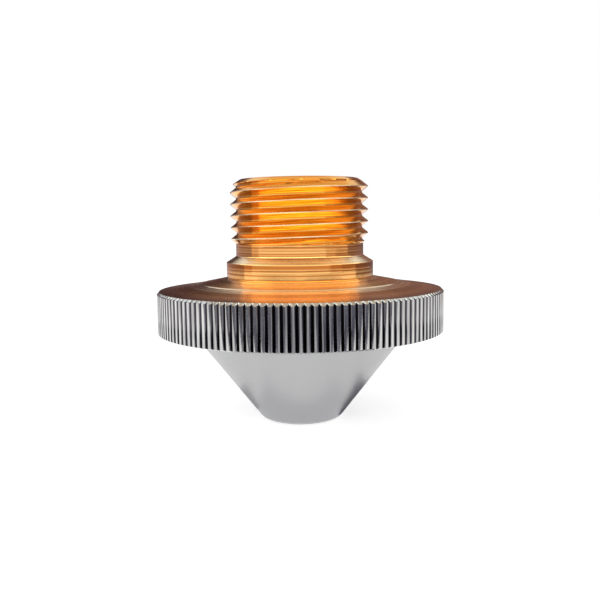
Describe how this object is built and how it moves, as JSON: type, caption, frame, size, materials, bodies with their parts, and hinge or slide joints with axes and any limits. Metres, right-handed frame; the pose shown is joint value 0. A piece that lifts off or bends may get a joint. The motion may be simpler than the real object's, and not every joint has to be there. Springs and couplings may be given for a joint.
{
  "type": "double laser cutting nozzle",
  "caption": "Turned copper laser cutting nozzle with a threaded neck, knurled rim, plated cone and a pressed-in core that splits the gas flow.",
  "frame": {"origin": "centre of the tip's flat face, on the nozzle's axis", "axes": "+Z along the nozzle's axis, from the tip to the threaded neck"},
  "size_m": [0.025, 0.025, 0.0211],
  "materials": {
    "body_copper": "turned copper, with the rim, underside and cone plated bright",
    "core_copper": "turned copper"
  },
  "bodies": {
    "root": {"nozzle_body": "body_copper", "inner_core": "core_copper"}
  },
  "joints": []
}
